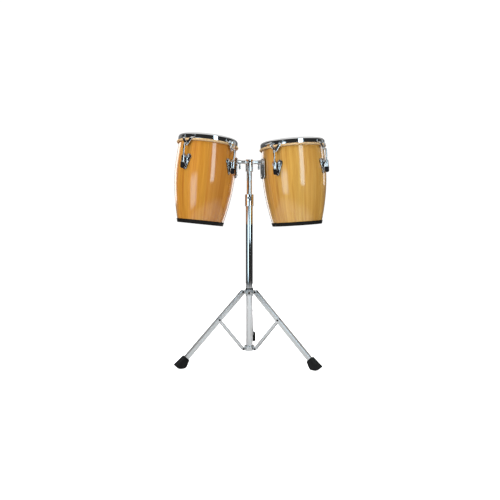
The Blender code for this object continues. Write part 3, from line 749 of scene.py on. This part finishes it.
def inside(drum, bolts, height, parts, turn=Matrix.Identity(4)):
    """The parts at each bolt, facing in from the inner side of the shell."""
    seats = [turn @ seat @ turned("X", pi) for seat in drum.bolt_seats(bolts, height, -drum.wall)]
    return merged(*(moved(part, seat) for seat in seats for part in parts))


def lug_meshes(drum):
    """The lug's chromed casting, the gasket behind it, and the fixings inside the shell."""
    height, reach = drum.lug_height, drum.reach
    gasket_thick, wall, bore, rib = 0.001, 0.0026, 0.0036, 0.0038
    gasket = wrapped(drum, plate([heart(0.0008)], 0, gasket_thick, 0.0002), height, GAP)
    casting = wrapped(drum, plate([heart()], 0, wall, 0.0009), height, gasket_thick + GAP)
    step = plate([[(x * 0.62, y * 0.72 - 0.002) for x, y in heart()]], 0, 0.0016, 0.0008)
    seam = drum.boss_bottom + 0.0016
    boss = ring(0.0062, bore, seam, drum.boss_top, 0.0011)
    washer = ring(0.0074, bore, drum.boss_bottom - 0.0002, seam, 0.0004)
    face = drum.radius(height) + 0.002
    ribs = [(face, drum.boss_bottom - 0.006), (reach, drum.boss_bottom + 0.004),
            (reach, drum.boss_top - 0.004), (face, drum.boss_top + 0.002)]
    neck = plate([rounded(ribs, [0, 0.002, 0.002, 0])], -rib, rib, 0.001)
    neck = combined(moved(neck, turned("X")), moved(pin(0.004, 0.1, 0.3), shift(reach)))
    pieces = [casting, wrapped(drum, step, height, 0.003), neck]
    pieces += [moved(m, shift(reach)) for m in (boss, washer)]
    seats = drum.bolt_seats(LUG_BOLTS, height, 0.0038)
    pieces += [moved(dome(0.0036, 0.0024), seat) for seat in seats]
    fixings = [ring(0.0062, 0.002, 0, 0.0012, 0.0003), hexagon(0.0044, 0.005),
               pin(0.002, 0.004, 0.0085, 0.0005)]
    return merged(*pieces), gasket, inside(drum, LUG_BOLTS, height, fixings)


def nut_mesh():
    """A cap nut about Z with a brim above and a domed end below."""
    top, bottom, radius, curve = 0.2026, 0.1835, 0.0078, 0.006
    waist, body = radius * 0.9, radius * 0.94
    end = [(body * cos(a), bottom + curve - curve * sin(a))
           for a in np.radians(np.linspace(0, 88, 12))]
    return lathe([
        (0.0036, top), (radius - 0.0008, top), (radius, top - 0.0008), (radius, top - 0.0034),
        (waist, top - 0.0044), (waist, top - 0.0052), (body, top - 0.0058), *end, (0, bottom),
    ])


PAD_THICK = 0.0018
PAD_MARGIN = 0.001
SADDLE_THICK = 0.0042
SADDLE_PROUD = 0.0024
SADDLE_REACH = 0.05  # from the post to the saddle's middle


def build_bracket(drum):
    """The saddle plate with its receiver for the cross bar, and the pad behind it."""
    name = drum.name
    low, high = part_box(f"{name}_bracket")
    half, tall = (high.y - low.y) / 2, (high.z - low.z) / 2
    middle = Vector((POST.x + drum.side * SADDLE_REACH, POST.y, (low.z + high.z) / 2))
    height = (drum.matrix.inverted() @ middle).z
    facing = Matrix.Identity(4) if drum.side < 0 else turned("Z", pi)

    def bent(grow, corner, thick, bevel, proud):
        outline = rounded_box(-half - grow, half + grow, tall + grow, corner, 8)
        return moved(wrapped(drum, plate([outline], 0, thick, bevel), height, proud), facing)

    pad = bent(PAD_MARGIN, 0.009, PAD_THICK, 0.0004, GAP)
    show(f"{name} bracket pad", pad, [RUBBER], drum.matrix)
    pieces = [bent(0, 0.008, SADDLE_THICK, 0.0012, SADDLE_PROUD)]
    seats = drum.bolt_seats(BRACKET_BOLTS, height, 0.0064)
    pieces += [moved(dome(0.0052, 0.0034), facing @ seat) for seat in seats]
    to_bar = shift(POST.x, POST.y, BAR_HEIGHT) @ turned("Y", drum.side * pi / 2)
    near_end = low.x - POST.x if drum.side > 0 else POST.x - high.x
    bore, tube, flare, far_end = 0.0067, 0.0078, 0.0115, 0.048
    profile = rounded([(tube, near_end), (tube, 0.0415), (flare, 0.046), (flare, far_end),
                       (bore, far_end), (bore, near_end)], [0.001, 0.003, 0.002, 0, 0, 0.0005])
    receiver = moved(lathe(profile, TUBE_STEPS, True), drum.matrix.inverted() @ to_bar)
    # The receiver takes the darker copy of the chrome: painted shade.
    parts = [*((piece, 0) for piece in pieces), (receiver, 1)]
    show(f"{name} bracket", merged(*parts), [CHROME, SHADED_BAR_CHROME], drum.matrix)
    fixings = [ring(0.0085, 0.002, 0, 0.0015, 0.0004), hexagon(0.0056, 0.006)]
    fixings = inside(drum, BRACKET_BOLTS, height, fixings, facing)
    show(f"{name} bracket fixings", fixings, [SATIN], drum.matrix, f"{name}_bracket", ())


def build_drum(drum):
    name, at = drum.name, drum.matrix
    wood = AMBER if name == "left" else HONEY
    SHELLS[name].objects.link(show(f"{name} shell", shell_mesh(drum), [wood, RAW_WOOD], at))
    show(f"{name} foot band", band_mesh(drum), [ENAMEL], at, f"{name}_base_band")
    skin = f"{name}_skin"
    show(f"{name} skin", skin_mesh(drum), [RAWHIDE], at, skin, [skin, f"{name}_flesh_hoop"])
    show(f"{name} rim", rim_mesh(drum), [CHROME], at)
    hook, nut = hook_mesh(drum), nut_mesh()
    casting, gasket, fixings = lug_meshes(drum)
    for number in range(1, 5):
        place = points_of(f"{name}_cap_nut_{number}", at).mean(axis=0)
        side = at @ turned("Z", atan2(place[1], place[0]))
        lug = f"{name}_lug_{number}"
        show(f"{name} hook {number}", hook, [CHROME], side)
        show(f"{name} lug {number}", casting, [CHROME], side)
        show(f"{name} lug gasket {number}", gasket, [RUBBER], side, lug, ())
        show(f"{name} lug fixings {number}", fixings, [SATIN], side, lug, ())
        show(f"{name} cap nut {number}", nut, [NYLON], side @ shift(drum.reach))
    build_bracket(drum)


# --- post ---
def wing_mesh(stem_radius, tip, stem, wing, span):
    """A wing screw about Z, with its point at tip. Its wings hang below and reach span along Y."""
    neck = tip - stem
    bottom = neck - wing
    rod = pin(stem_radius, bottom + 0.003, tip, 0.0004)
    hub = pin(stem_radius * 1.55, bottom + 0.0025, neck + 0.0015, 0.0008)
    right = [(span * 0.57, bottom + 0.002), (span * 0.9, bottom), (span, bottom + 0.0035),
             (span * 0.88, neck - wing * 0.25), (span * 0.43, neck)]
    outline = [(0, bottom + 0.0035), *right, (0, neck), *mirrored(right)]
    blade = plate([rounded(outline, 0.0016)], -0.0017, 0.0017, 0.0008)
    return merged(rod, hub, moved(blade, turned("Z") @ turned("X")))


def socket_screw(radius):
    """A socket screw set in a surface, facing +Z, with a black plug in its shallow hollow: painted
    shade of a deep socket.
    """
    sunk = -0.002
    # The black plug in the hollow paints the shade of a deep socket.
    head, painted_socket_shade = ring(radius, radius * 0.7, sunk, 0.001, 0.0003), pin(radius * 0.72, sunk, 0.0002)
    return merged((head, 0), (painted_socket_shade, 1))


def facing_out(azimuth, radius, height):
    """A frame on a round post fitting whose +Z points out at an azimuth in degrees."""
    angle = radians(azimuth)
    x, y = polar(radius, angle)
    return shift(POST.x + x, POST.y + y, height) @ turned("Z", angle) @ turned("Y")


TUBE_WALL = 0.0016
COLLAR_FLAT = 245.5  # azimuth of the milled flat with the set screw
COLLAR_CUT = 0.0021
TEE_SCREW = -98  # azimuth
TEE_RING_AT = 0.015
TEE_RING_HALF = 0.0025


def build_post():
    upper, base = half_width("upper_tube"), half_width("base_tube")
    for name, node in (("upper tube", "upper_tube"), ("lower tube", "base_tube")):
        radius, (low, high) = half_width(node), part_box(node)
        tube = ring(radius, radius - TUBE_WALL, low.z, high.z, 0.0005, TUBE_STEPS)
        show(name, tube, [CHROME], node=node)

    low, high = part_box("height_collar")
    radius = half_width("height_collar")
    seam, groove, edge = low.z + 0.018, 0.0007, 0.0008
    collar = lathe([
        (radius - edge, high.z), (radius, high.z - edge), (radius, seam + groove),
        (radius - 0.0009, seam), (radius, seam - groove), (radius, low.z + edge),
        (radius - edge, low.z), (BASE_BORE, low.z), (BASE_BORE, high.z),
    ], TUBE_STEPS, True)
    bolt_height = JOINTS["height_bolt_turn"]["pos_m"][2]
    boss = pin(0.0075, radius - 0.002, high.y - POST.y, 0.001)
    boss = moved(boss, shift(z=bolt_height) @ turned("X", -pi / 2))
    cut = box((radius - COLLAR_CUT, -0.02, seam + 0.0015), (0.03, 0.02, high.z - 0.0015))
    collar = combined(collar, moved(cut, turned("Z", radians(COLLAR_FLAT))))
    show("height collar", merged(collar, boss), [CHROME])
    guide = ring(base, upper + GAP, BASE_HIGH.z + GAP, high.z + 0.0003, 0.0006, TUBE_STEPS)
    show("height bushing", guide, [NYLON])
    flat_at = facing_out(COLLAR_FLAT, radius - COLLAR_CUT, bolt_height)
    show("height collar screw", socket_screw(0.0046), [CHROME, SCREW_BLACK], flat_at,
         "height_collar", ())
    show("height wing bolt", wing_mesh(0.003, 0, stem=0.017, wing=0.014, span=0.0105), [CHROME],
         shift(POST.x, POST.y + upper + GAP, bolt_height) @ turned("X"))


def build_cross_bar():
    radius = (BAR_HIGH.z - BAR_LOW.z) / 2
    half = (BAR_HIGH.x - BAR_LOW.x) / 2
    along = shift(POST.x, POST.y, BAR_HEIGHT) @ turned("Y")
    # The cross bar takes the darker copy of the chrome: painted shade.
    show("cross bar", pin(radius, -half, half, 0.0008, TUBE_STEPS), [SHADED_BAR_CHROME], along)
    low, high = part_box("tee_sleeve")
    sleeve, bore, floor = half_width("tee_sleeve"), half_width("upper_tube") + GAP, high.z - 0.021
    profile = [(0, high.z), (sleeve, high.z), (sleeve, low.z),
               (bore, low.z), (bore, floor), (0, floor)]
    profile = rounded(profile, [0, 0.003, 0.001, 0.0004, 0, 0], closed=False)
    rings = [moved(ring(0.0074, radius, at - TEE_RING_HALF, at + TEE_RING_HALF, 0.0008, TUBE_STEPS),
                   AT_POST.inverted() @ along) for at in (-TEE_RING_AT, TEE_RING_AT)]
    show("tee sleeve", merged(lathe(profile, TUBE_STEPS), *rings), [CHROME])
    show("tee screw", socket_screw(0.0042), [CHROME, SCREW_BLACK],
         facing_out(TEE_SCREW, sleeve, BAR_HEIGHT + 0.001), "tee_sleeve", ())
    for drum in DRUMS:
        x, y, _ = JOINTS[f"{drum.name}_wing_screw_turn"]["pos_m"]
        tip = BAR_LOW.z - GAP - BAR_HEIGHT
        screw = wing_mesh(0.0024, tip, stem=0.0085, wing=0.012, span=0.007)
        # The wing screws take the darker copy of the chrome: painted shade.
        show(f"{drum.name} wing screw", screw, [SHADED_BAR_CHROME], shift(x, y, BAR_HEIGHT))


# --- tripod ---
LEG_DEEP, LEG_WIDE, LEG_WALL = 0.017, 0.015, 0.0016
BRACE_DEEP, BRACE_WIDE, BRACE_WALL = 0.011, 0.011, 0.0014
LEG_EYE, LEG_TONGUE = 0.007, 0.011
BRACE_EYE, BRACE_TONGUE = 0.005, 0.0075
LEG_COLLAR_RADIUS = 0.0155
HUB_RADIUS = 0.0195


def spoke(joint_name):
    """A frame at a leg's or brace's pivot: X outwards from the post, Y along the pivot, Z up."""
    joint = JOINTS[joint_name]
    across, up = Vector(joint["axis"]).normalized(), Vector((0, 0, 1))
    return shift(*joint["pos_m"]) @ Matrix((across.cross(up), across, up)).transposed().to_4x4()


def far_end(node, at):
    """Where the far end of a leg or brace is, in its pivot's frame."""
    points = points_of(node, at)
    distance = np.linalg.norm(points, axis=1)
    end = points[distance > distance.max() - 0.0002].mean(axis=0)
    return Vector((end[0], 0, end[2]))


def channel(length, deep, wide, wall, slots, square_end=False):
    """A pressed channel along +X from its pivot: its web on +Z, its open side on -Z."""
    half, side = deep / 2, wide / 2
    section = rounded([
        (side, -half), (side, half), (-side, half), (-side, -half), (wall - side, -half),
        (wall - side, half - wall), (side - wall, half - wall), (side - wall, -half),
    ], [0.0004, 0.0024, 0.0024, 0.0004, 0.0004, 0.001, 0.001, 0.0004], 5)
    bar = moved(plate([section], -half, length + (0 if square_end else half), 0), FLAT_OUT)
    far = [(length, -half), (length, half)] if square_end else arc((length, 0), half, -90, 90, 16)
    shape = plate([[*arc((0, 0), half, 90, 270, 16), *far]], -wide, wide, 0)
    bar = combined(bar, moved(shape, turned("X")), "INTERSECT")
    for start, end in slots:
        bar = combined(bar, plate([rounded_box(start, end, side - wall, 0.003, 5)], 0, deep, 0))
    return bar


def riveted(bar, wide, places):
    """The bar with rivet heads on both sides at the places along it."""
    seats = [shift(x, side * wide / 2) @ turned("X", -side * pi / 2)
             for x in places for side in (-1, 1)]
    return merged((bar, 0), *((moved(dome(0.0038, 0.0016), seat), 1) for seat in seats))


def build_hub(name, radius, prefix, eye, thickness, *extras):
    """A ring on the lower tube with a tongue for each leg or brace."""
    low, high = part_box(name.replace(" ", "_"))
    pieces = [ring(radius, BASE_BORE, low.z, high.z, 0.0012, TUBE_STEPS), *extras]
    for leg in LEGS:
        pivot = Vector(JOINTS[f"{leg}_{prefix}_pivot"]["pos_m"]) - POST
        root, reach, half = BASE_BORE + GAP, hypot(pivot.x, pivot.y), thickness / 2
        end = arc((reach, pivot.z), eye, -90, 90, 16)
        tongue = plate([[(root, pivot.z - eye), *end, (root, pivot.z + eye)]], -half, half, 0.0006)
        pieces.append(moved(tongue, turned("Z", atan2(pivot.y, pivot.x)) @ turned("X")))
    show(name, merged(*pieces), [SATIN])


def boot_mesh(leg_matrix, length, tilt, node):
    """The rubber boot: a wedge with a rounded heel, a pocket for the leg and a grooved sole."""
    place = points_of(node, leg_matrix)
    floor, wide = place[:, 2].min(), place[:, 1].max()
    sole = place[place[:, 2] < floor + 1e-4]
    middle = (sole[:, 0].min() + sole[:, 0].max()) / 2
    mouth = Vector((cos(tilt), -sin(tilt))) * (length - 0.02)
    across = Vector((sin(tilt), cos(tilt))) * 0.0108
    outline = [
        tuple(mouth - across), (middle - 0.02, floor + 0.018), (middle - 0.015, floor + 0.007),
        (middle - 0.008, floor), (middle + 0.009, floor), (middle + 0.019, floor + 0.004),
        (middle + 0.027, floor + 0.0125), tuple(mouth + across),
    ]
    radii = [0.0015, 0.008, 0.01, 0.01, 0.01, 0.01, 0.003, 0.0015]
    body = moved(plate([rounded(outline, radii, 6)], -wide, wide, 0.0026), turned("X"))
    spacing, groove_half, groove_deep = 0.0036, 0.0006, 0.0008
    for number in range(-2, 3):
        x = middle + number * spacing
        body = combined(body, box((x - groove_half, -0.05, floor - 0.01),
                                  (x + groove_half, 0.05, floor + groove_deep)))
    pocket = box((length - 0.03, -0.0078, -0.0088), (length + 0.0003, 0.0078, 0.0088))
    return combined(body, moved(pocket, turned("Y", tilt)))


def build_hubs():
    low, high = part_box("leg_collar")
    joint = JOINTS["leg_collar_screw_turn"]
    front = turned("Z", atan2(joint["axis"][1], joint["axis"][0]))
    outline = rounded_box(-0.0085, 0.0085, 0.0105, 0.0025, 8)
    block = plate([outline], LEG_COLLAR_RADIUS - 0.006, LEG_COLLAR_RADIUS + 0.0035, 0.001)
    block = moved(block, front @ shift(z=(low.z + high.z) / 2) @ FLAT_OUT)
    block = combined(block, pin(BASE_BORE, low.z, high.z, steps=TUBE_STEPS))
    build_hub("leg collar", LEG_COLLAR_RADIUS, "leg", LEG_EYE, LEG_TONGUE, block)
    build_hub("lower hub", HUB_RADIUS, "brace", BRACE_EYE, BRACE_TONGUE)
    low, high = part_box("leg_collar_bushing")
    bushing = ring(LEG_COLLAR_RADIUS - 0.0006, BASE_BORE, low.z, high.z, 0.001, TUBE_STEPS)
    show("leg collar bushing", bushing, [NYLON])
    near, far = 0.013, 0.0197
    screw = merged(ring(0.004, 0.002, near, far, 0.0005), pin(0.0021, near, far - 0.0004))
    show("leg collar screw", screw, [SCREW_BLACK], shift(*joint["pos_m"]) @ front @ turned("Y"))


def build_tripod():
    for name in LEGS:
        leg_at, brace_at = spoke(f"{name}_leg_pivot"), spoke(f"{name}_brace_pivot")
        leg_end, brace_end = far_end(f"{name}_leg", leg_at), far_end(f"{name}_brace", brace_at)
        tilt = atan2(-leg_end.z, leg_end.x)
        rise = atan2(brace_end.z, brace_end.x)
        if name == LEGS[0]:
            length = leg_end.length
            brace_length = brace_end.length - BRACE_DEEP / 2
            knee = (leg_at.inverted() @ brace_at @ (brace_end.normalized() * brace_length)).length
            slots = (-LEG_DEEP, 0.034), (knee - 0.021, knee + 0.008)
            leg = channel(length, LEG_DEEP, LEG_WIDE, LEG_WALL, slots, True)
            leg = riveted(leg, LEG_WIDE, (0, knee))
            slots = [(-BRACE_DEEP, 0.012)]
            brace = channel(brace_length, BRACE_DEEP, BRACE_WIDE, BRACE_WALL, slots)
            brace = riveted(brace, BRACE_WIDE, (0,))
            foot = boot_mesh(leg_at, length, tilt, f"{name}_foot")
        show(f"{name} leg", leg, [SATIN, SCREW_BLACK], leg_at @ turned("Y", tilt))
        show(f"{name} brace", brace, [SATIN, SCREW_BLACK], brace_at @ turned("Y", -rise))
        show(f"{name} foot", foot, [RUBBER], leg_at)
    build_hubs()


# --- camera, floor and light ---
CAMERA_YAW = 0.187  # the camera stands to the left of the drums' front
CAMERA_DISTANCE = 1.8
CAMERA_HEIGHT = 0.5127
CAMERA_SIDE = 0.0026
CAMERA_TILT = 0.0589
CAMERA_LENS = 35.03
CAMERA_SENSOR = 36
FLOOR_RADIUS = 2.2
FLOOR_FADE = 0.9  # what stands higher than the legs reflects the dark beyond it
FLOOR_GLOW = 0.85
FLOOR_WHITE = (0.93, 0.93, 0.93)
FLOOR_GREY = 0.9
BACKDROP_RADIUS = 9.0
BACKDROP_GLOW = 1.05
TOP_BRIGHT = 0.75
BACK_BRIGHT = 0.22
BACK_DARK = 0.07
FRONT_DARK = 0.025
FRONT_EDGE = -0.45  # cosine of the angle from the camera where the dark ends
FRONT_TOP = 0.62  # sine of the elevation where it ends
PANEL_WHITE = (0.66, 0.87, 1.0)
PANELS = (  # place, size, strength, and the share of each half that fades
    ("key panel", (0.8, -1.49, 1.03), (0.5, 1.2), 4.8, (0.34, 0.16)),
    ("low panel", (-1.3, -1.75, 0.42), (1.2, 1.15), 2.9, (0.5, 0.6)),
)
SHELLS = {name: bpy.data.collections.new(f"{name} shell alone") for name in ("left", "right")}
RIM_GLOW = 2.3
RIM_DISTANCE = 2.1
RIM_PANELS = (  # the drum it lights, azimuth from the camera in degrees, height, and size
    ("left", -134, 1.02, (0.8, 0.9)),
    ("left", 154, 0.5, (0.6, 1.1)),
    ("right", -156, 0.75, (0.55, 1.5)),
    ("right", 122, 1.2, (0.42, 0.95)),
)
FILLS = (  # place, size and power
    ("front fill", (-1.9, -1.6, 1.1), (2.0, 1.8), 82.0),
    ("side fill", (1.9, -1.6, 0.9), (1.6, 1.6), 28.0),
    ("top fill", (0.0, -0.4, 2.6), (2.4, 1.8), 26.0),
    ("back fill", (0.6, 2.4, 0.9), (2.0, 1.8), 45.0),
)
FILLS_AIM = (0, 0, 0.65)


def studio(right, away, up):
    """A place measured from the post as the camera sees it."""
    c, s = polar(1.0, CAMERA_YAW)
    return Vector((POST.x + right * c + away * s, POST.y - right * s + away * c, up))


def build_camera():
    camera = placed("camera", bpy.data.cameras.new("camera"))
    camera.data.sensor_width = CAMERA_SENSOR
    camera.data.lens = CAMERA_LENS
    camera.location = studio(CAMERA_SIDE, -CAMERA_DISTANCE, CAMERA_HEIGHT)
    camera.rotation_euler = (pi / 2 - CAMERA_TILT, 0, -CAMERA_YAW)
    bpy.context.scene.camera = camera
    view = bpy.context.scene.view_settings
    view.view_transform = "Standard"
    view.look = "None"
    view.exposure = 0.0


def aim(piece, place, target):
    piece.location = place
    piece.rotation_euler = (target - place).to_track_quat("-Z", "Y").to_euler()


def area_light(name, place, target, size, power):
    light = bpy.data.lights.new(name, "AREA")
    light.shape = "RECTANGLE"
    light.size, light.size_y = size
    light.energy = power
    lamp = placed(name, light)
    aim(lamp, place, target)
    lamp.visible_camera = False
    return lamp


def staged(name, mesh, material, **rays):
    """A piece of the set; rays says which kinds of ray see it."""
    mesh.materials.append(material)
    piece = placed(name, mesh)
    for ray, sees in rays.items():
        setattr(piece, f"visible_{ray}", sees)
    return piece


def flat(corners):
    mesh = bpy.data.meshes.new("flat")
    mesh.from_pydata([tuple(c) for c in corners], [], [tuple(range(len(corners)))])
    return mesh


def build_world():
    """What the chrome reflects: bright overhead, dim behind, and a dark room in front and below."""
    world = bpy.data.worlds.new("surround")
    world.use_nodes = True
    bpy.context.scene.world = world
    t = Tree(world.node_tree)
    direction = t.node("TexCoord").outputs["Generated"]
    to_camera = (-sin(CAMERA_YAW), -cos(CAMERA_YAW), 0.0)
    inputs = {0: direction, 1: to_camera}
    front = t.node("VectorMath", inputs, operation="DOT_PRODUCT").outputs["Value"]
    height = t.node("SeparateXYZ", {0: direction}).outputs[2]
    above = t.fade(height, 0.35, 0.75, 0.0, TOP_BRIGHT - BACK_BRIGHT)
    bright = t.maths("ADD", t.fade(height, 0.02, 0.24, BACK_DARK, BACK_BRIGHT), above)
    in_front = t.fade(front, FRONT_EDGE - 0.12, FRONT_EDGE + 0.12, 0.0, 1.0)
    low = t.fade(height, FRONT_TOP - 0.15, FRONT_TOP + 0.15, 1.0, 0.0)
    hidden = t.maths("MULTIPLY", in_front, low)
    dark = t.maths("MULTIPLY", hidden, FRONT_DARK)
    strength = t.maths("MULTIPLY_ADD", bright, t.maths("SUBTRACT", 1.0, hidden), dark)
    background = t.tree.nodes["Background"].inputs
    t.feed(background[0], WHITE)
    t.feed(background[1], strength)


def glowing(name, colour, strength=0.0):
    """The nodes of a surface that shines evenly, whatever lights it."""
    m = Nodes(name, BLACK, 1.0)
    m.put("Specular IOR Level", 0.0)
    m.put("Emission Color", colour)
    m.put("Emission Strength", strength)
    return m


def soft_panel(name, place, size, strength, soft):
    """A glowing cloth that fades out towards its edges."""
    m = glowing(name, PANEL_WHITE)
    x, y = size[0] / 2, size[1] / 2
    parts = m.node("SeparateXYZ", {0: m.local()}).outputs
    fades = [m.fade(m.maths("ABSOLUTE", part), half * (1 - share), half, 1.0, 0.0)
             for part, half, share in zip(parts, (x, y), soft)]
    m.put("Emission Strength", m.maths("MULTIPLY", m.maths("MULTIPLY", *fades), strength))
    cloth = flat([(-x, -y, 0), (x, -y, 0), (x, y, 0), (-x, y, 0)])
    aim(staged(name, cloth, m.material, camera=False), studio(*place), studio(0, 0, place[2]))


def build_floor():
    """A white floor that only the camera sees, and a grey one that only shows in the chrome."""
    edge = [studio(x, y, 0) for x, y in arc((0.0, 0.0), FLOOR_RADIUS, 0, 360, 96)][:-1]
    white = Nodes("floor white", FLOOR_WHITE, 0.9)
    white.put("Emission Color", WHITE)
    white.put("Emission Strength", FLOOR_GLOW)
    staged("floor", flat(edge), white.material, glossy=False, diffuse=False)
    m = Nodes("floor grey", BLACK, 0.9)
    out = m.node("VectorMath", {0: m.local()}, operation="LENGTH").outputs["Value"]
    shade = m.fade(out, FLOOR_RADIUS - FLOOR_FADE, FLOOR_RADIUS, FLOOR_GREY, 0.0)
    m.put("Base Color", m.grey(shade))
    grey = staged("floor seen in the chrome", flat(edge), m.material, camera=False)
    grey.location.z = -0.001


def build_studio():
    """The floor, a white backdrop, panels that the chrome reflects, and the lights."""
    build_world()
    build_floor()
    shape = bmesh.new()
    bmesh.ops.create_icosphere(shape, subdivisions=4, radius=BACKDROP_RADIUS)
    unseen = dict.fromkeys(("diffuse", "glossy", "transmission", "volume_scatter", "shadow"), False)
    staged("backdrop", closed(shape, bpy.data.meshes.new("backdrop")),
           glowing("backdrop white", WHITE, BACKDROP_GLOW).material, **unseen)
    for panel in PANELS:
        soft_panel(*panel)
    for drum_name, azimuth, height, size in RIM_PANELS:
        angle = radians(azimuth)
        place = studio(RIM_DISTANCE * sin(angle), -RIM_DISTANCE * cos(angle), height)
        power = RIM_GLOW * pi * size[0] * size[1]
        lamp = area_light(f"rim panel {azimuth}", place, studio(0, 0, height), size, power)
        lamp.light_linking.receiver_collection = SHELLS[drum_name]
    for name, place, size, power in FILLS:
        area_light(name, studio(*place), studio(*FILLS_AIM), size, power).visible_glossy = False


build_camera()
build_studio()
for drum_frame in DRUMS:
    build_drum(drum_frame)
build_post()
build_cross_bar()
build_tripod()
